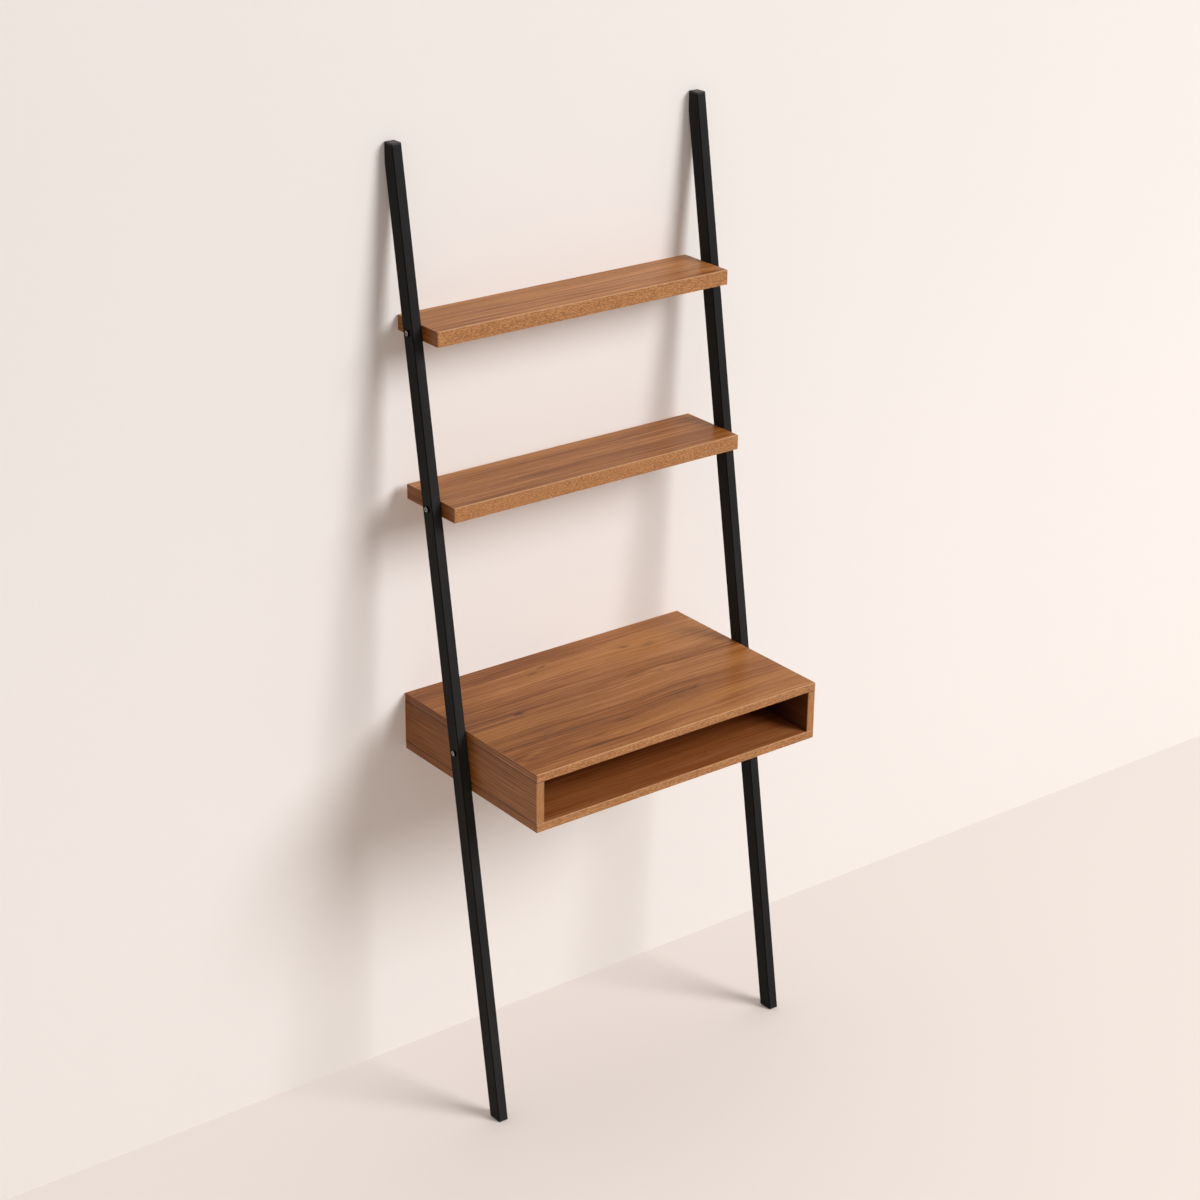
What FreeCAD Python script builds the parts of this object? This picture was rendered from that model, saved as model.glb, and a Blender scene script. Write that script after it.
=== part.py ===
import FreeCAD, Part
import math
import os

from FreeCAD import Rotation, Vector

# Overall sizes, in millimetres. X runs along the shelves, the wall is at +Y, the floor at Z 0
overall_height = 1800.0
board_length = 645.0
foot_reach = 325.0
rail_top_depth = 23.0

# Rail tube: width across the front, depth along the side, wall and corner radii
rail_width = 20.0
rail_depth = 30.0
rail_wall = 1.5
rail_corner = 2.0
rail_bore_corner = 0.5

# End plugs of the rails
plug_fit = 0.2
cap_thickness = 3.0
cap_edge_round = 0.8
top_plug_grip = 25.0
foot_plug_length = 35.0

# Shelves: drop of the upper face below the rail tops, depth, distance of the back edge from the wall
shelf_thickness = 28.0
upper_shelf_drop = 310.0
upper_shelf_depth = 125.0
upper_shelf_wall_gap = 0.0
lower_shelf_drop = 620.0
lower_shelf_depth = 150.0
lower_shelf_wall_gap = 20.0

# Desk box: two full panels with the sides standing between them
desk_height = 760.0
desk_depth = 415.0
desk_panel = 16.0
desk_clear_height = 82.0

# Desk back, held in a groove all round
back_thickness = 6.0
back_fit = 0.2
groove_depth = 6.0
groove_setback = 12.0
groove_end_gap = 0.5

# Edge bands and the small round on their outer edges, larger along the fronts, where hands touch
front_band_thickness = 2.0
front_band_round = 1.2
band_thickness = 1.0
band_round = 0.6
side_edge_round = 0.4

# Rail bolts, with a low round head and a hexagon socket
bolt_diameter = 6.0
bolt_hole = 6.6
bolt_head_diameter = 12.5
bolt_head_height = 3.2
bolt_head_round = 2.2
bolt_tip_chamfer = 0.8
bolt_tip_clear = 1.0
desk_bolt_share = 0.63
socket_sides = 6
socket_across_flats = 4.0
socket_depth = 2.2

# Threaded inserts in the board ends
insert_diameter = 10.0
insert_bore = 6.2
insert_length = 13.0
insert_rib = 0.5
insert_rib_count = 5
insert_fit = 0.1
insert_hole_extra = 0.5

# Locating pins between rail and board
pin_diameter = 5.0
pin_fit = 0.05
pin_chamfer = 0.5
pin_in_board = 12.0
pin_in_rail = 4.0
pin_hole_extra = 0.5
shelf_pin_step = 9.5
desk_pin_inset = 9.0

# Dowels between the desk sides and the two panels
dowel_diameter = 8.0
dowel_in_side = 18.0
dowel_fit = 0.1
dowel_chamfer = 1.0
dowel_hole_extra = 0.5
dowel_seat_share = 0.65
dowel_edge_inset = 50.0
dowel_joint_step = 24.0

# Wall brackets under the upper shelf
bracket_spacing = 406.0
bracket_width = 30.0
bracket_drop = 30.0
bracket_reach = 32.0
bracket_sheet = 2.0
bracket_bend = 3.0
wall_hole = 5.5
wall_hole_drop = 17.0
bracket_screw_step = 16.0
bracket_screw_reach = 20.0
bracket_screw_hole = 4.4

# Screws that hold the brackets to the shelf
screw_diameter = 4.0
screw_length = 16.0
screw_fit = 0.05
screw_head_diameter = 7.6
screw_head_height = 2.4
screw_head_round = 1.4
screw_tip_chamfer = 1.4
screw_hole_extra = 0.5
cross_length = 4.4
cross_width = 1.0
cross_depth = 1.4

# One overrun serves every cut, and one tolerance finds the edges that lie on a plane
overrun = 5.0
same_place = 0.01

# Places worked out from the sizes above
wall_y = desk_depth / 2
desk_front_y = wall_y - desk_depth
half_length = board_length / 2
foot_front_y = wall_y - foot_reach
lean = math.atan((foot_reach - rail_top_depth) / overall_height)
level_depth = rail_depth / math.cos(lean)
wall_cut_height = (level_depth - rail_top_depth) / math.tan(lean)
upper_shelf_height = overall_height - upper_shelf_drop
lower_shelf_height = overall_height - lower_shelf_drop
desk_box_height = desk_clear_height + 2 * desk_panel
desk_underside = desk_height - desk_box_height
bolt_length = rail_width + insert_length - bolt_tip_clear
sides = {"left": -1, "right": 1}


def save(name, shapes):
    group = shapes if isinstance(shapes, list) else [shapes]
    shape = group[0] if len(group) == 1 else Part.makeCompound(group)
    shape.exportStep("parts/" + name + ".step")
    print(name, len(shape.Solids), round(shape.Volume))


def block(x_pair, y_pair, z_pair):
    corner = Vector(x_pair[0], y_pair[0], z_pair[0])
    size = Vector(x_pair[1], y_pair[1], z_pair[1]) - corner
    return Part.makeBox(size.x, size.y, size.z, corner)


def is_near(value, target):
    return abs(value - target) < same_place


def edges_on_plane(shape, axis, place):
    return [e for e in shape.Edges if all(is_near(getattr(v, axis), place) for v in e.Vertexes)]


def edges_along_y(shape, x_place):
    return [e for e in edges_on_plane(shape, "X", x_place) if not is_near(e.Vertexes[0].Y, e.Vertexes[-1].Y)]


def edges_on_line(shape, y_place, z_place):
    return [e for e in edges_on_plane(shape, "Y", y_place) if all(is_near(v.Z, z_place) for v in e.Vertexes)]


# The rail's line: its front face, and its middle as a place (y, z) on the rail's side
def rail_front_y(z):
    return foot_front_y + z * math.tan(lean)


def rail_middle(z):
    return rail_front_y(z) + level_depth / 2, z


# Joints: halfway up each shelf, and a share of the way up the desk box
upper_joint = rail_middle(upper_shelf_height - shelf_thickness / 2)
lower_joint = rail_middle(lower_shelf_height - shelf_thickness / 2)
desk_joint = rail_middle(desk_underside + desk_box_height * desk_bolt_share)
joints = [upper_joint, lower_joint, desk_joint]


# A shelf's pin stands behind its bolt, across the tube
def shelf_pins(joint):
    y, z = joint
    return [(y + shelf_pin_step * math.cos(lean), z - shelf_pin_step * math.sin(lean))]


# The desk's pins stand near the lower and the upper end of its sides
desk_pin_low = desk_underside + desk_panel + desk_pin_inset
desk_pin_high = desk_height - desk_panel - desk_pin_inset
desk_pins = [rail_middle(desk_pin_low), rail_middle(desk_pin_high)]
all_pins = shelf_pins(upper_joint) + shelf_pins(lower_joint) + desk_pins


# A round bar along X, from a start towards the middle of the desk or away from it
def bar_along_x(diameter, x_start, x_end, place):
    low = min(x_start, x_end)
    return Part.makeCylinder(diameter / 2, abs(x_end - x_start), Vector(low, *place), Vector(1, 0, 0))


# A round piece modelled upright at the origin, laid along X with its base at a joint's face
def lay_along_x(shape, x_base, place, direction):
    laid = shape.copy()
    turn = Rotation(Vector(0, 0, 1), Vector(direction, 0, 0))
    laid.Placement = FreeCAD.Placement(Vector(x_base, *place), turn)
    return laid


def rim_edges(shape, z_place):
    return edges_on_plane(shape, "Z", z_place)


# Rails and plugs
def rail_bar(sign, inset, corner):
    low_x = half_length if sign > 0 else -half_length - rail_width
    width = rail_width - 2 * inset
    depth = rail_depth - 2 * inset
    length = (overall_height + rail_depth) / math.cos(lean) + 2 * overrun
    bar = Part.makeBox(width, depth, length, Vector(inset, inset, -overrun))
    long_edges = [e for e in bar.Edges if is_near(e.Length, length)]
    bar = bar.makeFillet(corner, long_edges)
    turn = Rotation(Vector(1, 0, 0), -math.degrees(lean))
    bar.Placement = FreeCAD.Placement(Vector(low_x, foot_front_y, 0), turn)
    return bar


def level_slice(bar, z_low, z_high):
    box = bar.BoundBox
    keep = block((box.XMin - overrun, box.XMax + overrun), (box.YMin - overrun, wall_y), (z_low, z_high))
    return bar.common(keep).Solids[0]


def rail_tube(sign):
    tube = rail_bar(sign, 0, rail_corner).cut(rail_bar(sign, rail_wall, rail_bore_corner))
    tube = level_slice(tube, cap_thickness, overall_height - cap_thickness)
    inner_x = sign * half_length
    outer_x = sign * (half_length + rail_width + overrun)
    for joint in joints:
        tube = tube.cut(bar_along_x(bolt_hole, inner_x - sign * overrun, outer_x, joint))
    for pin in all_pins:
        hole_end = inner_x + sign * rail_width / 2
        tube = tube.cut(bar_along_x(pin_diameter + 2 * pin_fit, inner_x - sign * overrun, hole_end, pin))
    return tube.Solids[0]


def end_plug(sign, cap_low, outer_z, stem_low, stem_high):
    cap = level_slice(rail_bar(sign, 0, rail_corner), cap_low, cap_low + cap_thickness)
    cap = cap.makeFillet(cap_edge_round, edges_on_plane(cap, "Z", outer_z))
    stem = level_slice(rail_bar(sign, rail_wall + plug_fit, rail_bore_corner), stem_low, stem_high)
    return cap.fuse(stem).removeSplitter().Solids[0]


def top_plug(sign):
    cap_low = overall_height - cap_thickness
    stem_low = overall_height - wall_cut_height - top_plug_grip
    return end_plug(sign, cap_low, overall_height, stem_low, cap_low)


def foot_plug(sign):
    return end_plug(sign, 0, 0, cap_thickness, cap_thickness + foot_plug_length)


# Fasteners
def hexagon(across_flats, depth):
    radius = across_flats / 2 / math.cos(math.pi / socket_sides)
    turns = [2 * math.pi * i / socket_sides for i in range(socket_sides + 1)]
    corners = [Vector(radius * math.cos(t), radius * math.sin(t), 0) for t in turns]
    return Part.Face(Part.makePolygon(corners)).extrude(Vector(0, 0, depth))


def round_head(diameter, height, corner):
    head = Part.makeCylinder(diameter / 2, height)
    return head.makeFillet(corner, rim_edges(head, height))


# The bolt stands on its bearing face: head above, shank below
def rail_bolt():
    shank = Part.makeCylinder(bolt_diameter / 2, bolt_length, Vector(0, 0, -bolt_length))
    shank = shank.makeChamfer(bolt_tip_chamfer, rim_edges(shank, -bolt_length))
    head = round_head(bolt_head_diameter, bolt_head_height, bolt_head_round)
    socket = hexagon(socket_across_flats, socket_depth + overrun)
    socket.translate(Vector(0, 0, bolt_head_height - socket_depth))
    return head.fuse(shank).removeSplitter().cut(socket).Solids[0]


# The insert's outside is a row of sharp ribs, as a screw-in insert has
def threaded_insert():
    outer = insert_diameter / 2
    pitch = insert_length / insert_rib_count
    outline = [Vector(insert_bore / 2, 0, 0), Vector(outer - insert_rib, 0, 0)]
    for i in range(insert_rib_count):
        outline.append(Vector(outer, 0, (i + 0.5) * pitch))
        outline.append(Vector(outer - insert_rib, 0, (i + 1) * pitch))
    outline.append(Vector(insert_bore / 2, 0, insert_length))
    outline.append(outline[0])
    return Part.Face(Part.makePolygon(outline)).revolve(Vector(0, 0, 0), Vector(0, 0, 1), 360)


def chamfered_bar(diameter, length, chamfer):
    bar = Part.makeCylinder(diameter / 2, length)
    return bar.makeChamfer(chamfer, rim_edges(bar, 0) + rim_edges(bar, length))


def bracket_screw():
    shank = Part.makeCylinder(screw_diameter / 2, screw_length)
    shank = shank.makeChamfer(screw_tip_chamfer, rim_edges(shank, screw_length))
    head = round_head(screw_head_diameter, screw_head_height, screw_head_round)
    head.rotate(Vector(0, 0, 0), Vector(1, 0, 0), 180)
    screw = shank.fuse(head).removeSplitter()
    cross_low = -screw_head_height - overrun
    cross_high = cross_depth - screw_head_height
    half_long = cross_length / 2
    half_wide = cross_width / 2
    for x_half, y_half in ((half_long, half_wide), (half_wide, half_long)):
        screw = screw.cut(block((-x_half, x_half), (-y_half, y_half), (cross_low, cross_high)))
    return screw.Solids[0]


def rail_bolts(sign):
    face = sign * (half_length + rail_width)
    return [lay_along_x(rail_bolt(), face, joint, sign) for joint in joints]


def threaded_inserts(sign):
    return [lay_along_x(threaded_insert(), sign * half_length, joint, -sign) for joint in joints]


def locating_pins(sign):
    pin = chamfered_bar(pin_diameter, pin_in_rail + pin_in_board, pin_chamfer)
    start = sign * (half_length + pin_in_rail)
    return [lay_along_x(pin, start, place, -sign) for place in all_pins]


# Holes in a board end for its insert and its pins, cut from the outer face inwards
def joint_holes(joint, pins):
    holes = []
    for sign in sides.values():
        mouth = sign * (half_length + overrun)
        insert_end = sign * (half_length - insert_length - insert_hole_extra)
        pin_end = sign * (half_length - pin_in_board - pin_hole_extra)
        holes.append(bar_along_x(insert_diameter + 2 * insert_fit, mouth, insert_end, joint))
        for pin in pins:
            holes.append(bar_along_x(pin_diameter + 2 * pin_fit, mouth, pin_end, pin))
    return holes


def cut_all(shape, tools):
    for tool in tools:
        shape = shape.cut(tool)
    return shape.Solids[0]


# A board as core and four bands: the long bands cover the ends of the end bands
def banded_board(y_pair, z_pair, holes):
    y_front, y_back = y_pair
    core_x = half_length - band_thickness
    core_y = (y_front + front_band_thickness, y_back - band_thickness)
    full_x = (-half_length, half_length)
    core = block((-core_x, core_x), core_y, z_pair)
    front = block(full_x, (y_front, core_y[0]), z_pair)
    front = front.makeFillet(front_band_round, edges_on_plane(front, "Y", y_front))
    back = block(full_x, (core_y[1], y_back), z_pair)
    back = back.makeFillet(band_round, edges_on_plane(back, "Y", y_back))
    ends = []
    for sign in sides.values():
        x_pair = sorted((sign * core_x, sign * half_length))
        end = block(x_pair, core_y, z_pair)
        end = end.makeFillet(band_round, edges_along_y(end, sign * half_length))
        ends.append(cut_all(end, holes))
    return cut_all(core, holes), front, back, ends


def save_banded(name, board):
    core, front, back, ends = board
    save(name, core)
    save(name + "_front_band", front)
    save(name + "_back_band", back)
    save(name + "_end_bands", ends)


def shelf(top_height, depth, wall_gap, joint, extra_holes):
    y_back = wall_y - wall_gap
    holes = joint_holes(joint, shelf_pins(joint)) + extra_holes
    return banded_board((y_back - depth, y_back), (top_height - shelf_thickness, top_height), holes)


# Brackets: a bent strip, one leg on the wall and one under the upper shelf
shelf_underside = upper_shelf_height - shelf_thickness


def bracket_middle_x(sign):
    return sign * bracket_spacing / 2


def screw_places(sign):
    y = wall_y - bracket_screw_reach
    return [(bracket_middle_x(sign) + step, y) for step in (-bracket_screw_step / 2, bracket_screw_step / 2)]


def wall_bracket(sign):
    middle = bracket_middle_x(sign)
    x_pair = (middle - bracket_width / 2, middle + bracket_width / 2)
    y_pair = (wall_y - bracket_reach, wall_y)
    z_low = shelf_underside - bracket_drop
    strip = block(x_pair, y_pair, (z_low, shelf_underside))
    strip = strip.makeFillet(bracket_bend + bracket_sheet, edges_on_line(strip, wall_y, shelf_underside))
    hollow_y = wall_y - bracket_sheet
    hollow_z = shelf_underside - bracket_sheet
    hollow = block(
        (x_pair[0] - overrun, x_pair[1] + overrun),
        (y_pair[0] - overrun, hollow_y),
        (z_low - overrun, hollow_z),
    )
    strip = strip.cut(hollow.makeFillet(bracket_bend, edges_on_line(hollow, hollow_y, hollow_z)))
    hole_start = Vector(middle, hollow_y - overrun, shelf_underside - wall_hole_drop)
    hole_length = bracket_sheet + 2 * overrun
    strip = strip.cut(Part.makeCylinder(wall_hole / 2, hole_length, hole_start, Vector(0, 1, 0)))
    for x, y in screw_places(sign):
        start = Vector(x, y, hollow_z - overrun)
        strip = strip.cut(Part.makeCylinder(bracket_screw_hole / 2, hole_length, start))
    return strip.Solids[0]


def all_screw_places():
    return [place for sign in sides.values() for place in screw_places(sign)]


def bracket_screws():
    screws = []
    for x, y in all_screw_places():
        screw = bracket_screw()
        screw.translate(Vector(x, y, shelf_underside - bracket_sheet))
        screws.append(screw)
    return screws


def screw_pilot_holes():
    depth = screw_length - bracket_sheet + screw_hole_extra
    radius = screw_diameter / 2 + screw_fit
    low = shelf_underside - overrun
    return [Part.makeCylinder(radius, depth + overrun, Vector(x, y, low)) for x, y in all_screw_places()]


# Desk box
side_z = (desk_underside + desk_panel, desk_height - desk_panel)
side_inner_x = half_length - desk_panel
dowel_seat = desk_panel * dowel_seat_share
groove_y = (wall_y - groove_setback - back_thickness - 2 * back_fit, wall_y - groove_setback)


# Dowels stand near the front, just ahead of the rail's joint and near the back
dowel_rows = (
    desk_front_y + dowel_edge_inset,
    desk_joint[0] - dowel_joint_step,
    groove_y[0] - dowel_edge_inset,
)


# Dowels as (y, z of the lower end): upper ones reach up into the top, lower ones down into the bottom
def dowel_ends():
    ends = []
    for y in dowel_rows:
        ends.append((y, side_z[1] - dowel_in_side))
        ends.append((y, side_z[0] - dowel_seat))
    return ends


def dowels(sign):
    pieces = []
    for y, z in dowel_ends():
        dowel = chamfered_bar(dowel_diameter, dowel_in_side + dowel_seat, dowel_chamfer)
        dowel.translate(Vector(sign * (half_length - desk_panel / 2), y, z))
        pieces.append(dowel)
    return pieces


def dowel_holes():
    holes = []
    radius = dowel_diameter / 2 + dowel_fit
    length = dowel_in_side + dowel_seat + 2 * dowel_hole_extra
    for sign in sides.values():
        x = sign * (half_length - desk_panel / 2)
        for y, z in dowel_ends():
            holes.append(Part.makeCylinder(radius, length, Vector(x, y, z - dowel_hole_extra)))
    return holes


# The room that the back panel's groove takes out of the panels and sides around it
def groove_room():
    half_x = side_inner_x + groove_depth
    return block((-half_x, half_x), groove_y, (side_z[0] - groove_depth, side_z[1] + groove_depth))


def desk_back():
    reach = groove_depth - groove_end_gap
    half_x = side_inner_x + reach
    y_pair = (groove_y[0] + back_fit, groove_y[1] - back_fit)
    return block((-half_x, half_x), y_pair, (side_z[0] - reach, side_z[1] + reach))


def desk_panel_board(z_low):
    holes = dowel_holes() + [groove_room()]
    return banded_board((desk_front_y, wall_y), (z_low, z_low + desk_panel), holes)


def desk_side(sign):
    outer_x = sign * half_length
    x_pair = sorted((sign * side_inner_x, outer_x))
    side = block(x_pair, (desk_front_y + front_band_thickness, wall_y), side_z)
    side = side.makeFillet(side_edge_round, edges_along_y(side, outer_x))
    return cut_all(side, joint_holes(desk_joint, desk_pins) + dowel_holes() + [groove_room()])


def desk_side_band(sign):
    x_pair = sorted((sign * side_inner_x, sign * half_length))
    band = block(x_pair, (desk_front_y, desk_front_y + front_band_thickness), side_z)
    return band.makeFillet(front_band_round, edges_on_plane(band, "Y", desk_front_y))


os.makedirs("parts", exist_ok=True)

for side, sign in sides.items():
    save(side + "_rail", rail_tube(sign))
    save(side + "_top_plug", top_plug(sign))
    save(side + "_foot_plug", foot_plug(sign))
    save(side + "_rail_bolts", rail_bolts(sign))
    save(side + "_threaded_inserts", threaded_inserts(sign))
    save(side + "_locating_pins", locating_pins(sign))
    save(side + "_wall_bracket", wall_bracket(sign))
    save("desk_" + side + "_side", desk_side(sign))
    save("desk_" + side + "_dowels", dowels(sign))

upper = shelf(upper_shelf_height, upper_shelf_depth, upper_shelf_wall_gap, upper_joint, screw_pilot_holes())
lower = shelf(lower_shelf_height, lower_shelf_depth, lower_shelf_wall_gap, lower_joint, [])
save_banded("upper_shelf", upper)
save_banded("lower_shelf", lower)
save_banded("desk_top", desk_panel_board(desk_height - desk_panel))
save_banded("desk_bottom", desk_panel_board(desk_underside))
save("desk_side_front_bands", [desk_side_band(sign) for sign in sides.values()])
save("desk_back", desk_back())
save("bracket_screws", bracket_screws())
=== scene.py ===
import math

import bmesh
import bpy
from mathutils import Matrix, Vector


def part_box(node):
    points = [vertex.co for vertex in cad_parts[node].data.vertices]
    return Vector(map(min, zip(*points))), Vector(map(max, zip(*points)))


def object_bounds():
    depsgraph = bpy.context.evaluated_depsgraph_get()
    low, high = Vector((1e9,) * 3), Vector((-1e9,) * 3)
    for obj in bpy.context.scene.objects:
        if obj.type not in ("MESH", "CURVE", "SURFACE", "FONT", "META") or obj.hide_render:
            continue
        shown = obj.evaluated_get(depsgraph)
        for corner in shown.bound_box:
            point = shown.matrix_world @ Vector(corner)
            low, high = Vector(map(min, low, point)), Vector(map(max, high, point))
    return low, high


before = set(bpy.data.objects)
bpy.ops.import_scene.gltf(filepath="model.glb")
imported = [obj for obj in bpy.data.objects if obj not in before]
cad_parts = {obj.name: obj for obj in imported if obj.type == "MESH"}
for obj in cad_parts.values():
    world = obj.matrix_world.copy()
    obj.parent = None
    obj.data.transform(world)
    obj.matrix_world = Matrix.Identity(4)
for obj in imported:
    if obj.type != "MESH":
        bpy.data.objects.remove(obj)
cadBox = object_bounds()
print("frame loaded:", len(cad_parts), "nodes")


# A socket of a node tree. Sums on it add Math nodes, and node() adds any other kind
class Signal:
    def __init__(self, tree, socket):
        self.tree = tree
        self.socket = socket

    def node(self, kind, settings, sockets, out=0):
        made = self.tree.nodes.new("ShaderNode" + kind)
        for name, value in settings.items():
            if name == "stops":
                setStops(made.color_ramp, value)
            else:
                setattr(made, name, value)
        for key, value in sockets.items():
            if isinstance(value, Signal):
                self.tree.links.new(value.socket, made.inputs[key])
            else:
                made.inputs[key].default_value = value
        return Signal(self.tree, made.outputs[out]) if made.outputs else None

    def math(self, operation, *values):
        return self.node("Math", {"operation": operation}, dict(enumerate(values)))

    def __add__(self, other):
        return self.math("ADD", self, other)

    def __sub__(self, other):
        return self.math("SUBTRACT", self, other)

    def __rsub__(self, other):
        return self.math("SUBTRACT", other, self)

    def __mul__(self, other):
        return self.math("MULTIPLY", self, other)

    def __truediv__(self, other):
        return self.math("DIVIDE", self, other)

    __radd__ = __add__
    __rmul__ = __mul__


def setStops(ramp, stops):
    while len(ramp.elements) < len(stops):
        ramp.elements.new(1)
    for element, (place, colour) in zip(ramp.elements, stops):
        element.position = place
        element.color = colour


# A colour written as a screen shows it, turned into the linear light that shaders take
def tint(code):
    shown = [int(code[i:i + 2], 16) / 255 for i in (0, 2, 4)]
    return tuple(c / 12.92 if c < 0.04045 else ((c + 0.055) / 1.055) ** 2.4 for c in shown) + (1,)


def fade(value, low, high):
    return value.node("MapRange", {"interpolation_type": "SMOOTHSTEP"}, {0: value, 1: low, 2: high})


def blend(amount, first, second):
    return amount.node("Mix", {"data_type": "RGBA"}, {0: amount, 6: first, 7: second}, out=2)


# Noise of about 0 to 1. Cells are counted per metre along each axis, and a shift reads it at another place
plainNoise = {"shift": 0.0, "detail": 2.0, "roughness": 0.5}
shiftShares = (1.0, 1.7, 0.6)
noiseMiddle = 0.5


def cloud(vector, noise, shift=0.0):
    noise = {**plainNoise, **noise}
    place = tuple((shift + noise["shift"]) * share for share in shiftShares)
    moved = vector.node("VectorMath", {"operation": "MULTIPLY_ADD"}, {0: vector, 1: noise["cells"], 2: place})
    sockets = {"Vector": moved, "Scale": 1.0, "Detail": noise["detail"], "Roughness": noise["roughness"]}
    return vector.node("TexNoise", {}, sockets)


def centred(noise):
    return noise - noiseMiddle


# 1 at a place on an axis, 0 beyond the reach on both sides of it
def nearLine(axis, place, reach):
    return 1 - fade(axis.math("ABSOLUTE", axis - place), *reach)


def relief(coords, look, height):
    return coords.node("Bump", {}, {"Strength": look["bump"], "Distance": look["bumpDepth"], "Height": height})


def startFinish(name):
    material = bpy.data.materials.new(name)
    material.use_nodes = True
    tree = material.node_tree
    tree.nodes.clear()
    return material, Signal(tree, tree.nodes.new("ShaderNodeTexCoord").outputs["Object"])


def endFinish(colour, roughness, normal, constants):
    sockets = {"Base Color": colour, "Roughness": roughness, "Normal": normal, **constants}
    shader = colour.node("BsdfPrincipled", {}, sockets)
    colour.node("OutputMaterial", {}, {"Surface": shader})


def axesOf(coords, letters):
    return [coords.node("SeparateXYZ", {}, {0: coords}, out="XYZ".index(letter)) for letter in letters]


def dress(material, *names):
    for name in names:
        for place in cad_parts[name].material_slots:
            place.material = material


# Veneer: tones laid in zones across the board, streaks and year lines that sway along it, smoky marks and
# pores. The grain's letters give the axes along, across and through it
veneerLook = {
    "stops": (
        (0.0, tint("6c3710")),
        (0.25, tint("8d4f1d")),
        (0.5, tint("a56631")),
        (0.75, tint("bc7c46")),
        (1.0, tint("ce8f5a")),
    ),
    "gold": tint("b67734"),
    "smoke": tint("703a17"),
    "pore": tint("4c2812"),
    "knot": tint("381a0b"),
    "bounceWash": tint("8c4120"),  # painted bounce light and shade: a darker, redder brown on the desk's floor, for the dim red light inside the compartment
    "swayNoise": {"cells": (2.4, 4.0, 4.0), "detail": 1.0},
    "rippleNoise": {"cells": (9.0, 10.0, 10.0), "shift": 1.6, "detail": 1.0},
    "streakNoise": {"shift": 3.1, "roughness": 0.55},
    "lineNoise": {"shift": 5.7, "roughness": 0.55},
    "threadNoise": {"shift": 8.3, "roughness": 0.55},
    "goldNoise": {"cells": (1.3, 9.0, 9.0), "shift": 11.9},
    "goldRange": (0.5, 0.72),
    "smokeNoise": {"cells": (2.6, 60.0, 60.0), "shift": 14.2},
    "smokeRange": (0.57, 0.72),
    "yearNoise": {"cells": (2.4, 9.0, 9.0), "shift": 17.0},
    "yearRange": (0.42, 0.62),
    "yearWander": 3.0,  # how much the streaks push the year lines aside
    "yearRise": (0.3, 0.93),
    "yearFall": (0.93, 1.0),
    "fibreNoise": {"cells": (16.0, 700.0, 700.0), "detail": 3.0, "roughness": 0.6},
    "fibreRange": (0.62, 0.3),
    "fibreDepth": 0.2,
    "poreNoise": {"cells": (42.0, 1250.0, 1250.0), "shift": 21.0, "detail": 1.0},
    "poreRange": (0.58, 0.72),
    "poreDepth": 0.35,
    "markReach": 2.5,  # the grain bends round a mark, this many times as far as the mark's own size
    "markBend": 0.5,
    "bounceWashRange": (0.0, 0.3),
    "insideEdge": 0.001,
    "paintedShadeFront": 0.7,  # painted shade on the faces that look into the compartment, with more of it further in
    "insideGain": 0.27,
    "paintedShadeReach": 0.12,
    "seamReach": (0.0004, 0.0015),
    "seamDepth": 0.85,
    "roughness": 0.36,
    "threadRough": 0.12,
    "streakRough": 0.1,
    "poreRough": 0.12,
    "bump": 0.35,
    "bumpDepth": 0.0002,
    "fibreBump": 0.5,
}
# Streak, line and thread are cells per metre along and across the grain, and how much they change the tone
plank = {
    "sway": 0.03,
    "ripple": 0.007,
    "streak": (0.6, 36.0, 0.75),
    "line": (2.5, 130.0, 0.9),
    "thread": (7.0, 330.0, 1.3),
    "rings": 140.0,
    "years": 0.2,
    "gloss": 0.14,
    "gold": 0.45,
    "smoke": 0.12,
    "bounceWash": 0.0,
    "lean": 0.0,  # painted light and shade: tone gained per metre along the board
}
shelf = {**plank, "sway": 0.012, "ripple": 0.005, "streak": (1.0, 42.0, 0.8)}
rift = {
    **plank,
    "sway": 0.005,
    "ripple": 0.002,
    "streak": (1.9, 42.0, 0.06),
    "line": (2.6, 400.0, 0.5),
    "thread": (8.0, 640.0, 1.7),
    "rings": 170.0,
    "years": 0.22,
    "gold": 0.0,
    "smoke": 0.0,
    # Painted shade: darker further along the board, on the sides and ends towards the wall
    "lean": -0.68,
    "gloss": 0.3,
    "zones": (0.43, 0.47, 0.43),
}
figures = {
    "deskTop": {
        **plank,
        "shift": 1.3,
        # Painted light: the desk top grows lighter towards its right end
        "lean": 0.48,
        "zones": (0.51, 0.45, 0.51, 0.45, 0.44, 0.56, 0.6, 0.44, 0.48, 0.5, 0.54, 0.56, 0.48, 0.52),
    },
    "deskFloor": {
        **shelf,
        "shift": 9.4,
        "gold": 0.0,
        # Painted light and shade inside the compartment: a redder, darker wash all over, and zones light at
        # the front edge and dark further in
        "bounceWash": 0.45,
        "zones": (0.86, 0.68, 0.4, 0.2, 0.2, 0.3, 0.36, 0.4, 0.42),
    },
    "upperShelf": {
        **shelf,
        "shift": 4.6,
        "streak": (1.0, 42.0, 1.3),
        "line": (2.5, 130.0, 1.2),
        "zones": (0.54, 0.6, 0.68, 0.65, 0.6),
    },
    "lowerShelf": {**shelf, "shift": 7.9, "zones": (0.56, 0.5, 0.54, 0.52, 0.66)},
    "straight": {**rift, "shift": 2.2},
    "deskBack": {**rift, "shift": 6.1},
}


def markSlope(along, across, mark):
    return across - mark["across"] - (along - mark["along"]) * mark["slant"]


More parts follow.
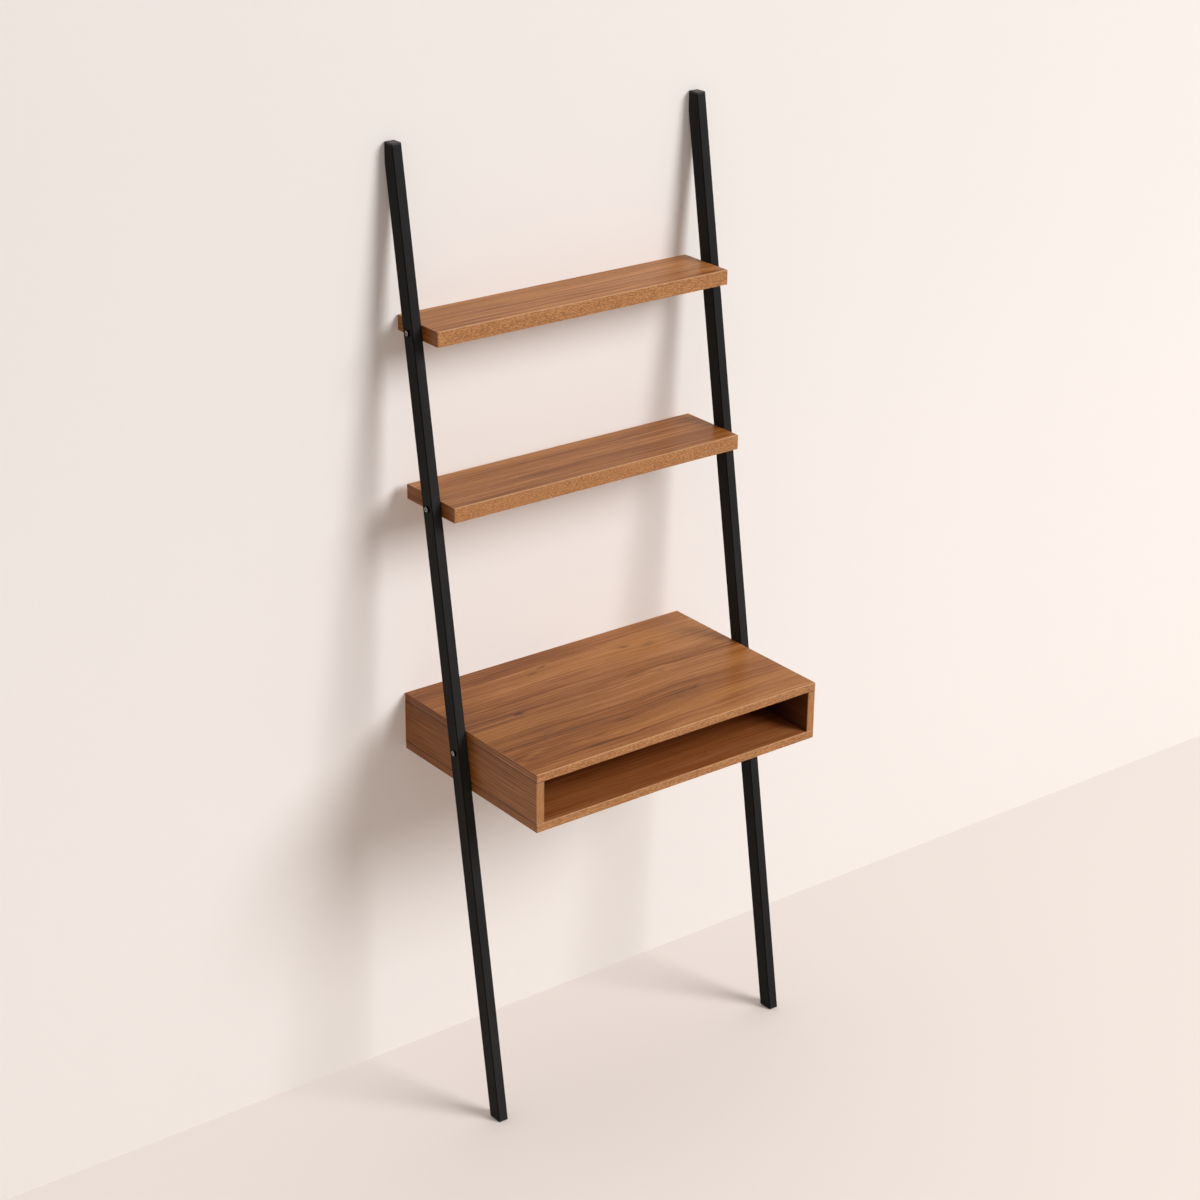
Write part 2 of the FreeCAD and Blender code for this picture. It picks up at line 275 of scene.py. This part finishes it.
def markNear(along, across, mark, wider):
    lengthwise = (along - mark["along"]) / (mark["length"] * wider)
    crosswise = markSlope(along, across, mark) / (mark["width"] * wider)
    return along.math("EXPONENT", 0 - (lengthwise * lengthwise + crosswise * crosswise))


def grainLayer(flow, figure, layer):
    along, across, amount = figure[layer]
    noise = {**veneerLook[layer + "Noise"], "cells": (along, across, across)}
    return centred(cloud(flow, noise, figure["shift"])) * amount


def veneer(name, node, grain, figure, marks=(), seams=(), inside=None):
    look, shift = veneerLook, figure["shift"]
    material, coords = startFinish(name)
    along, across, through = axesOf(coords, grain)
    low, high = [corner["XYZ".index(grain[1])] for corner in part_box(node)]
    straight = coords.node("CombineXYZ", {}, {0: along, 1: across, 2: through})
    sway = centred(cloud(straight, look["swayNoise"], shift))
    ripple = centred(cloud(straight, look["rippleNoise"], shift))
    bent = across + sway * figure["sway"] + ripple * figure["ripple"]
    for mark in marks:
        nearness = markNear(along, across, mark, look["markReach"])
        bent = bent - markSlope(along, across, mark) * nearness * look["markBend"]
    flow = coords.node("CombineXYZ", {}, {0: along, 1: bent, 2: through})
    steps = len(figure["zones"]) - 1
    stops = [(step / steps, (tone, tone, tone, 1)) for step, tone in enumerate(figure["zones"])]
    zone = coords.node("ValToRGB", {"stops": stops}, {0: (bent - low) / (high - low)})
    streak, line, thread = [grainLayer(flow, figure, layer) for layer in ("streak", "line", "thread")]
    ring = bent * figure["rings"] + streak * look["yearWander"]
    year = ring.math("FRACT", ring)
    yearLine = fade(year, *look["yearRise"]) * (1 - fade(year, *look["yearFall"]))
    yearPlace = fade(cloud(straight, look["yearNoise"], shift), *look["yearRange"])
    tone = zone + streak + line + thread + along * figure["lean"] - yearLine * yearPlace * figure["years"]
    colour = coords.node("ValToRGB", {"stops": look["stops"]}, {0: tone})
    golden = centred(zone + cloud(flow, look["goldNoise"], shift))
    colour = blend(fade(golden, *look["goldRange"]) * figure["gold"], colour, look["gold"])
    smoky = cloud(flow, look["smokeNoise"], shift)
    colour = blend(fade(smoky, *look["smokeRange"]) * figure["smoke"], colour, look["smoke"])
    fibre = cloud(straight, look["fibreNoise"], shift)
    pores = fade(cloud(straight, look["poreNoise"], shift), *look["poreRange"])
    colour = blend(fade(fibre, *look["fibreRange"]) * look["fibreDepth"], colour, look["smoke"])
    colour = blend(pores * look["poreDepth"], colour, look["pore"])
    for mark in marks:
        colour = blend(markNear(along, across, mark, 1.0) * mark["depth"], colour, look[mark["tone"]])
    # Painted bounce light and shade: the compartment's floor takes a redder, darker brown
    if figure["bounceWash"]:
        colour = blend(fade(fibre, *look["bounceWashRange"]) * figure["bounceWash"], colour, look["bounceWash"])
    # Painted shade: the faces that look into the compartment darken towards the knot colour, more so further
    # in
    if inside:
        shade = 1 - fade(through.math("ABSOLUTE", through), inside, inside + look["insideEdge"])
        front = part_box(node)[0][1]
        shadeFurtherIn = fade(along, front, front + look["paintedShadeReach"]) * look["insideGain"] + look["paintedShadeFront"]
        colour = blend(shade * shadeFurtherIn, colour, look["knot"])
    for seam in seams:
        colour = blend(nearLine(across, seam, look["seamReach"]) * look["seamDepth"], colour, look["knot"])
    normal = relief(coords, look, fibre * look["fibreBump"] - pores)
    roughness = look["roughness"] + thread * look["threadRough"] + streak * look["streakRough"]
    roughness = roughness + pores * look["poreRough"]
    endFinish(colour, roughness, normal, {"Specular IOR Level": figure["gloss"]})
    return material


# Boards: the desk top carries a small knot, eyes and slanting strokes in its figure
markKeys = ("along", "across", "length", "width", "slant", "depth", "tone")
markRows = (
    (-0.205, 0.011, 0.012, 0.0042, 0.0, 1.0, "knot"),
    (-0.049, 0.151, 0.011, 0.003, 0.3, 0.55, "knot"),
    (-0.082, 0.137, 0.022, 0.0022, 0.35, 0.4, "knot"),
    (-0.15, 0.13, 0.04, 0.003, 0.1, 0.5, "gold"),
    (0.131, 0.131, 0.01, 0.0042, -0.3, 0.65, "knot"),
    (0.164, 0.134, 0.02, 0.007, 0.1, 0.7, "gold"),
    (0.177, 0.115, 0.018, 0.007, 0.2, 0.35, "knot"),
    (0.072, 0.018, 0.032, 0.0036, 0.0, 0.4, "knot"),
    (0.038, 0.022, 0.014, 0.0018, 0.2, 0.8, "gold"),
    (0.12, 0.007, 0.013, 0.005, 0.1, 0.3, "knot"),
    (0.095, -0.09, 0.03, 0.0024, 0.0, 0.5, "knot"),
    (0.13, -0.086, 0.015, 0.0024, 0.35, 0.5, "knot"),
    (-0.06, -0.12, 0.026, 0.0036, 0.0, 0.45, "knot"),
    (-0.205, -0.082, 0.019, 0.0024, 0.25, 0.42, "knot"),
    (-0.277, -0.137, 0.03, 0.006, 0.3, 0.5, "gold"),
    (-0.177, -0.135, 0.024, 0.003, 0.0, 0.6, "gold"),
    (-0.1, -0.157, 0.02, 0.004, -0.4, 0.45, "gold"),
    (-0.167, -0.175, 0.022, 0.004, 0.0, 0.35, "knot"),
    (-0.29, -0.15, 0.012, 0.006, 0.0, 0.3, "knot"),
)
deskTopMarks = [dict(zip(markKeys, row)) for row in markRows]
boards = ("upper_shelf", "lower_shelf", "desk_top", "desk_bottom")
deskSides = ("desk_left_side", "desk_right_side")
deskSeams = [corner[2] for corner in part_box("desk_left_side")]  # where the sides meet the top and the bottom
deskInside = abs(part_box("desk_left_side")[1][0])
dress(veneer("desk top veneer", "desk_top", "XYZ", figures["deskTop"], deskTopMarks), "desk_top")
dress(veneer("desk floor veneer", "desk_bottom", "XYZ", figures["deskFloor"]), "desk_bottom")
dress(veneer("upper shelf veneer", "upper_shelf", "XYZ", figures["upperShelf"]), "upper_shelf")
dress(veneer("lower shelf veneer", "lower_shelf", "XYZ", figures["lowerShelf"]), "lower_shelf")
straight = figures["straight"]
dress(veneer("desk side veneer", "desk_left_side", "YZX", straight, (), deskSeams, deskInside), *deskSides)
dress(veneer("desk back veneer", "desk_back", "XZY", figures["deskBack"]), "desk_back")
for board in boards:
    ends = board + "_end_bands"
    dress(veneer(ends, ends, "YZX", straight, (), deskSeams), ends)
print("boards dressed")

# Front and back bands: paler wood with short flecks, a painted highlight along the rounded arris and dark in
# the joints
bandLook = {
    "wood": tint("bb804c"),
    "fleckDark": tint("844f29"),
    "fleckLight": tint("ce9662"),
    "arrisHighlight": tint("d7a473"),
    "joint": tint("2a140b"),
    "slowNoise": {"cells": (5.0, 60.0, 60.0), "shift": 2.7},
    "slowRange": (0.3, 0.7),
    "slowDepth": 0.2,
    "flecked": {"_front_band": 1.0, "_back_band": 0.5},
    "uprightFlecked": 0.4,
    "fleckNoise": {"cells": (190.0, 900.0, 900.0), "shift": 5.2},
    "darkRange": (0.53, 0.38),
    "lightRange": (0.5, 0.63),
    "fleckDepth": 0.7,
    "threadNoise": {"cells": (30.0, 760.0, 760.0), "shift": 8.8},
    "threadRange": (0.55, 0.3),
    "threadDepth": 0.8,
    "threadLoss": 0.45,  # flecks take the place of threads
    "arrisHighlightReach": (0.0, 0.0011),
    "arrisHighlightDepth": 0.7,
    "jointReach": (0.0003, 0.0012),
    "jointDepth": 0.8,
    "roughness": 0.42,
    "fleckRough": 0.25,
    "gloss": 0.4,
    "bump": 0.3,
    "bumpDepth": 0.0002,
    "fleckBump": 0.5,
    "threadBump": 0.5,
}


def edgeBand(name, grain, edges, joints, flecked):
    look = bandLook
    material, coords = startFinish(name)
    along, across, through = axesOf(coords, grain)
    lengths = coords.node("CombineXYZ", {}, {0: along, 1: across, 2: through})
    slow = fade(cloud(lengths, look["slowNoise"]), *look["slowRange"])
    fleck = cloud(lengths, look["fleckNoise"])
    thread = cloud(lengths, look["threadNoise"])
    fleckDepth = look["fleckDepth"] * flecked
    threadDepth = look["threadDepth"] - look["threadLoss"] * flecked
    colour = blend(slow * look["slowDepth"], look["wood"], look["fleckDark"])
    colour = blend(fade(fleck, *look["darkRange"]) * fleckDepth, colour, look["fleckDark"])
    colour = blend(fade(fleck, *look["lightRange"]) * fleckDepth, colour, look["fleckLight"])
    colour = blend(fade(thread, *look["threadRange"]) * threadDepth, colour, look["fleckDark"])
    # Painted highlight along the rounded arrises
    for edge in edges:
        colour = blend(nearLine(across, edge, look["arrisHighlightReach"]) * look["arrisHighlightDepth"], colour, look["arrisHighlight"])
    for joint in joints:
        colour = blend(nearLine(along, joint, look["jointReach"]) * look["jointDepth"], colour, look["joint"])
    normal = relief(coords, look, fleck * look["fleckBump"] + thread * look["threadBump"])
    roughness = look["roughness"] + centred(fleck) * look["fleckRough"]
    endFinish(colour, roughness, normal, {"Specular IOR Level": look["gloss"]})
    return material


for board in boards:
    for edge, flecked in bandLook["flecked"].items():
        low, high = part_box(board + edge)
        dress(edgeBand(board + edge, "XZY", (low[2], high[2]), (), flecked), board + edge)
uprightEdges = [side * edge for side in (-1, 1) for edge in (deskInside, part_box("desk_left_side")[0][0])]
uprightBand = edgeBand("upright band", "ZXY", uprightEdges, deskSeams, bandLook["uprightFlecked"])
dress(uprightBand, "desk_side_front_bands")
print("bands dressed")

# Rails and brackets: black satin powder coat with a fine peel
coatLook = {
    "black": tint("2a2929"),
    "worn": tint("353433"),
    # Painted shade for the rails' rounded front corners
    "corner": tint("0c0b0b"),
    "cornerShadeDepth": 0.85,
    "cornerSize": (0.0008, 0.002),
    "slope": 0.1678,  # how far the rails lean back for each metre of height
    "peelNoise": {"cells": (700.0, 700.0, 700.0), "shift": 1.0, "roughness": 0.55},
    "driftNoise": {"cells": (14.0, 14.0, 3.0), "shift": 4.0, "detail": 3.0, "roughness": 0.6},
    "driftRange": (0.35, 0.7),
    "driftDepth": 0.6,
    "grimeNoise": {"cells": (160.0, 160.0, 9.0), "shift": 7.0},
    "grimeRange": (0.55, 0.75),
    "grimeDepth": 0.3,
    "roughness": 0.48,
    "driftRough": 0.2,
    "peelRough": 0.1,
    "gloss": 0.02,
    "bump": 0.2,
    "bumpDepth": 0.00012,
}


# 1 on the rounded front corners of the rails, where painted shade makes them darker than the faces beside them
def frontCornerShade(coords, rail):
    low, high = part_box(rail)
    sideways, back, up = axesOf(coords, "XYZ")
    outward = sideways.math("ABSOLUTE", sideways)
    toSide = outward.math("MINIMUM", outward - low[0], high[0] - outward)
    toFront = back - low[1] - (up - low[2]) * coatLook["slope"]
    return (1 - fade(toSide, *coatLook["cornerSize"])) * (1 - fade(toFront, *coatLook["cornerSize"]))


def powderCoat(name, rail=None):
    look = coatLook
    material, coords = startFinish(name)
    peel = cloud(coords, look["peelNoise"])
    drift = cloud(coords, look["driftNoise"])
    grime = cloud(coords, look["grimeNoise"])
    colour = blend(fade(drift, *look["driftRange"]) * look["driftDepth"], look["black"], look["worn"])
    colour = blend(fade(grime, *look["grimeRange"]) * look["grimeDepth"], colour, look["worn"])
    # Painted shade along the rails' rounded front corners
    if rail:
        colour = blend(frontCornerShade(coords, rail) * look["cornerShadeDepth"], colour, look["corner"])
    roughness = look["roughness"] + centred(drift) * look["driftRough"] + centred(peel) * look["peelRough"]
    normal = relief(coords, look, peel)
    endFinish(colour, roughness, normal, {"Specular IOR Level": look["gloss"]})
    return material


dress(powderCoat("rail powder coat", "right_rail"), "left_rail", "right_rail")
dress(powderCoat("bracket powder coat"), "left_wall_bracket", "right_wall_bracket")

# End plugs: moulded black plastic, greyer in the middle of the cap, with painted shade along its rounded rim
plugLook = {
    "black": tint("1c1a19"),
    "grey": tint("35322f"),
    "capDepth": 0.023,
    "rimShade": (0.0012, 0.0035),
    "grainNoise": {"cells": (1500.0, 1500.0, 1500.0), "shift": 2.0},
    "cloudNoise": {"cells": (90.0, 90.0, 90.0), "shift": 5.0},
    "cloudRange": (0.1, 0.6),
    "roughness": 0.52,
    "grainRough": 0.3,
    "gloss": 0.4,
    "bump": 0.3,
    "bumpDepth": 0.0001,
}


def mouldedPlastic(name, low, high):
    look = plugLook
    material, coords = startFinish(name)
    sideways, back = axesOf(coords, "XY")
    grain = cloud(coords, look["grainNoise"])
    middle = fade(cloud(coords, look["cloudNoise"]), *look["cloudRange"])
    front = high[1] - look["capDepth"]
    # Painted shade along the cap's rounded rim
    for edge in (sideways - low[0], high[0] - sideways, back - front, high[1] - back):
        middle = middle * fade(edge, *look["rimShade"])
    colour = blend(middle, look["black"], look["grey"])
    normal = relief(coords, look, grain)
    roughness = look["roughness"] + centred(grain) * look["grainRough"]
    endFinish(colour, roughness, normal, {"Specular IOR Level": look["gloss"]})
    return material


sides = ("left", "right")
for plug in [side + end for side in sides for end in ("_top_plug", "_foot_plug")]:
    dress(mouldedPlastic(plug, *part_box(plug)), plug)
print("rails and plugs dressed")

# Bolts, screws, pins and inserts: turned metal. The bolts carry painted shade in the socket and on the head's
# rounded rim
metalLook = {
    "zinc": {"bright": tint("b2aea9"), "dull": tint("86827d"), "roughness": 0.34},
    "steel": {"bright": tint("b9b6b2"), "dull": tint("87847f"), "roughness": 0.35},
    "brass": {"bright": tint("d8b46a"), "dull": tint("a37f3f"), "roughness": 0.38},
    "headShade": tint("0e0d0c"),
    "headShadeDepths": (0.00006, 0.00001),  # measured from the face of the head
    "turningNoise": {"cells": (2500.0, 300.0, 300.0), "shift": 1.0},
    "turningRough": 0.25,
    "blotNoise": {"cells": (400.0, 400.0, 400.0), "shift": 3.0, "detail": 3.0},
    "blotRange": (0.35, 0.7),
    "blotRough": 0.15,
    "bump": 0.15,
    "bumpDepth": 0.0001,
}


def turnedMetal(name, metal, shadeBelow=None):
    look = {**metalLook, **metalLook[metal]}
    material, coords = startFinish(name)
    turning = cloud(coords, look["turningNoise"])
    blot = cloud(coords, look["blotNoise"])
    colour = blend(fade(blot, *look["blotRange"]), look["bright"], look["dull"])
    # Painted shade below the face of the head: in the socket and on the rounded rim
    if shadeBelow:
        sideways, = axesOf(coords, "X")
        outward = sideways.math("ABSOLUTE", sideways)
        colour = blend(1 - fade(outward, *shadeBelow), colour, look["headShade"])
    roughness = look["roughness"] + centred(turning) * look["turningRough"] + centred(blot) * look["blotRough"]
    endFinish(colour, roughness, relief(coords, look, turning), {"Metallic": 1.0})
    return material


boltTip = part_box("right_rail_bolts")[1][0]
boltShade = [boltTip - depth for depth in metalLook["headShadeDepths"]]
dress(turnedMetal("bolt zinc", "zinc", boltShade), "left_rail_bolts", "right_rail_bolts")
dress(turnedMetal("screw zinc", "zinc"), "bracket_screws")
dress(turnedMetal("pin steel", "steel"), "left_locating_pins", "right_locating_pins")
dress(turnedMetal("insert brass", "brass"), "left_threaded_inserts", "right_threaded_inserts")

# Dowels: plain beech with fine flecks
dowelLook = {
    "wood": tint("d3ad7c"),
    "fleck": tint("a97f50"),
    "fleckNoise": {"cells": (900.0, 900.0, 140.0), "shift": 2.0},
    "fleckRange": (0.5, 0.7),
    "roughness": 0.6,
    "fleckRough": 0.2,
    "bump": 0.2,
    "bumpDepth": 0.0001,
}


def beech(name):
    look = dowelLook
    material, coords = startFinish(name)
    fleck = cloud(coords, look["fleckNoise"])
    colour = blend(fade(fleck, *look["fleckRange"]), look["wood"], look["fleck"])
    roughness = look["roughness"] + centred(fleck) * look["fleckRough"]
    endFinish(colour, roughness, relief(coords, look, fleck), {})
    return material


dress(beech("dowel beech"), "desk_left_dowels", "desk_right_dowels")
print("fasteners dressed")

# Stage: a pale floor, and a wall that only shows from the room's side
stageLook = {
    "floor": tint("f6eae3"),
    "floorBounce": tint("b4a599"),  # what the floor throws back at the desk
    "wallLow": tint("f0ebe8"),
    "wallHigh": tint("eae5e2"),
    "wallRise": (0.9, 2.1),  # heights between which painted shade darkens the wall a little
    "glowHigh": tint("564e49"),  # a faint glow keeps the wall's shadows open, more so near the floor
    "glowLow": tint("6f655e"),
    "glowHeight": 1.5,
    "backdrop": tint("f0eae6"),
    "near": 2.2,  # further out than this, floor and wall fade into the backdrop
    "far": 3.8,
    "middle": 0.9,  # height of the fade's middle on the wall
    "size": 16.0,
    "wallGap": 0.0015,
}


def stagePlane(name, corners):
    mesh = bpy.data.meshes.new(name)
    shape = bmesh.new()
    shape.faces.new([shape.verts.new(corner) for corner in corners])
    shape.to_mesh(mesh)
    shape.free()
    plane = bpy.data.objects.new(name, mesh)
    bpy.context.collection.objects.link(plane)
    return plane


def rayIs(coords, kind):
    return coords.node("LightPath", {}, {}, out="Is " + kind + " Ray")


# 1 where the camera or a gloss looks, 0 where light is gathered
def seenRay(coords):
    return coords.math("MAXIMUM", rayIs(coords, "Camera"), rayIs(coords, "Glossy"))


def fadeAway(coords, surface, middle):
    distance = coords.node("VectorMath", {"operation": "DISTANCE"}, {0: coords, 1: middle}, out="Value")
    away = fade(distance, stageLook["near"], stageLook["far"]) * seenRay(coords)
    backdrop = coords.node("Emission", {}, {"Color": stageLook["backdrop"], "Strength": 1.0})
    return coords.node("MixShader", {}, {0: away, 1: surface, 2: backdrop})


half = stageLook["size"] / 2
floorPlane = stagePlane("floor", [(-half, -half, 0), (half, -half, 0), (half, half, 0), (-half, half, 0)])
floorPaint, coords = startFinish("floor paint")
floorColour = blend(seenRay(coords), stageLook["floorBounce"], stageLook["floor"])
painted = fadeAway(coords, coords.node("BsdfDiffuse", {}, {"Color": floorColour}), (0, 0, 0))
below = coords.node("NewGeometry", {}, {}, out="Backfacing") * rayIs(coords, "Camera")
clear = coords.node("BsdfTransparent", {}, {})
mixed = coords.node("MixShader", {}, {0: below, 1: painted, 2: clear})
coords.node("OutputMaterial", {}, {"Surface": mixed})
floorPlane.data.materials.append(floorPaint)

wallY = cadBox[1][1] + stageLook["wallGap"]
wallCorners = [(-half, wallY, 0), (half, wallY, 0), (half, wallY, half), (-half, wallY, half)]
wallPlane = stagePlane("wall", wallCorners)
wallPaint, coords = startFinish("wall paint")
facing = 1 - coords.node("NewGeometry", {}, {}, out="Backfacing")
height, = axesOf(coords, "Z")
wallColour = blend(fade(height, *stageLook["wallRise"]), stageLook["wallLow"], stageLook["wallHigh"])
painted = coords.node("BsdfDiffuse", {}, {"Color": wallColour})
glowColour = blend(fade(height, 0.0, stageLook["glowHeight"]), stageLook["glowLow"], stageLook["glowHigh"])
glow = coords.node("Emission", {}, {"Color": glowColour, "Strength": 1.0})
shown = fadeAway(coords, coords.node("AddShader", {}, {0: painted, 1: glow}), (0, wallY, stageLook["middle"]))
clear = coords.node("BsdfTransparent", {}, {})
mixed = coords.node("MixShader", {}, {0: seenRay(coords) * facing, 1: clear, 2: shown})
coords.node("OutputMaterial", {}, {"Surface": mixed})
wallPlane.data.materials.append(wallPaint)

# Light: one large soft lamp from the front right, the wall's bounce from behind and the room's weaker light
lightLook = {
    "aim": (0.0, 0.0, 0.9),
    "key": {
        "towards": (0.6, -1.0, 0.67),
        "distance": 16.0,
        "width": 8.2,
        "level": 0.81,
        "tint": (0.962, 0.985, 1.0),
    },
    "wallBounce": 0.85,
    "wallShade": 0.6,  # how much weaker the bounce is on the left, where the wall lies in shadow
    "wallTurn": (-0.15, 0.2),  # directions between which the room's light turns into the wall's bounce
    "room": 0.33,
    "roomTint": tint("fffbf7"),
}


def softLamp(name, look):
    data = bpy.data.lights.new(name, "AREA")
    data.shape = "DISK"
    data.size = look["width"]
    data.color = look["tint"]
    # At level 1 a facing surface shows its colour as written
    data.energy = look["level"] * (math.pi * look["distance"]) ** 2
    lamp = bpy.data.objects.new(name, data)
    bpy.context.collection.objects.link(lamp)
    towards = Vector(look["towards"]).normalized()
    lamp.location = Vector(lightLook["aim"]) + towards * look["distance"]
    lamp.rotation_mode = "QUATERNION"
    lamp.rotation_quaternion = towards.to_track_quat("Z", "Y")
    lamp.visible_camera = False


softLamp("key lamp", lightLook["key"])
room = bpy.data.worlds.new("room")
room.use_nodes = True
room.node_tree.nodes.clear()
direction = Signal(room.node_tree, room.node_tree.nodes.new("ShaderNodeTexCoord").outputs["Generated"])
right, back = axesOf(direction, "XY")
bounce = (right * lightLook["wallShade"] + 1) * lightLook["wallBounce"]
level = fade(back, *lightLook["wallTurn"]) * (bounce - lightLook["room"]) + lightLook["room"]
roomLight = direction.node("Background", {}, {"Color": lightLook["roomTint"], "Strength": level})
roomSeen = direction.node("Background", {}, {"Color": stageLook["backdrop"], "Strength": 1.0})
roomMix = direction.node("MixShader", {}, {0: rayIs(direction, "Camera"), 1: roomLight, 2: roomSeen})
direction.node("OutputWorld", {}, {"Surface": roomMix})
bpy.context.scene.world = room
bpy.context.scene.view_settings.view_transform = "Standard"
print("stage and light set")

# Camera: found from the corners of the rails, shelves and desk in the photograph
cameraLook = {
    "place": (-2.8188, -3.6290, 2.9355),
    "turn": -37.549,
    "tilt": -23.499,
    "roll": 0.66,
    "lens": 81.89,
    "sensor": 36.0,
}
cameraData = bpy.data.cameras.new("camera")
cameraData.sensor_width = cameraLook["sensor"]
cameraData.lens = cameraLook["lens"]
camera = bpy.data.objects.new("camera", cameraData)
bpy.context.collection.objects.link(camera)
camera.matrix_world = (
    Matrix.Translation(cameraLook["place"])
    @ Matrix.Rotation(math.radians(cameraLook["turn"]), 4, "Z")
    @ Matrix.Rotation(math.radians(90 + cameraLook["tilt"]), 4, "X")
    @ Matrix.Rotation(math.radians(cameraLook["roll"]), 4, "Z")
)
bpy.context.scene.camera = camera
print("camera set")
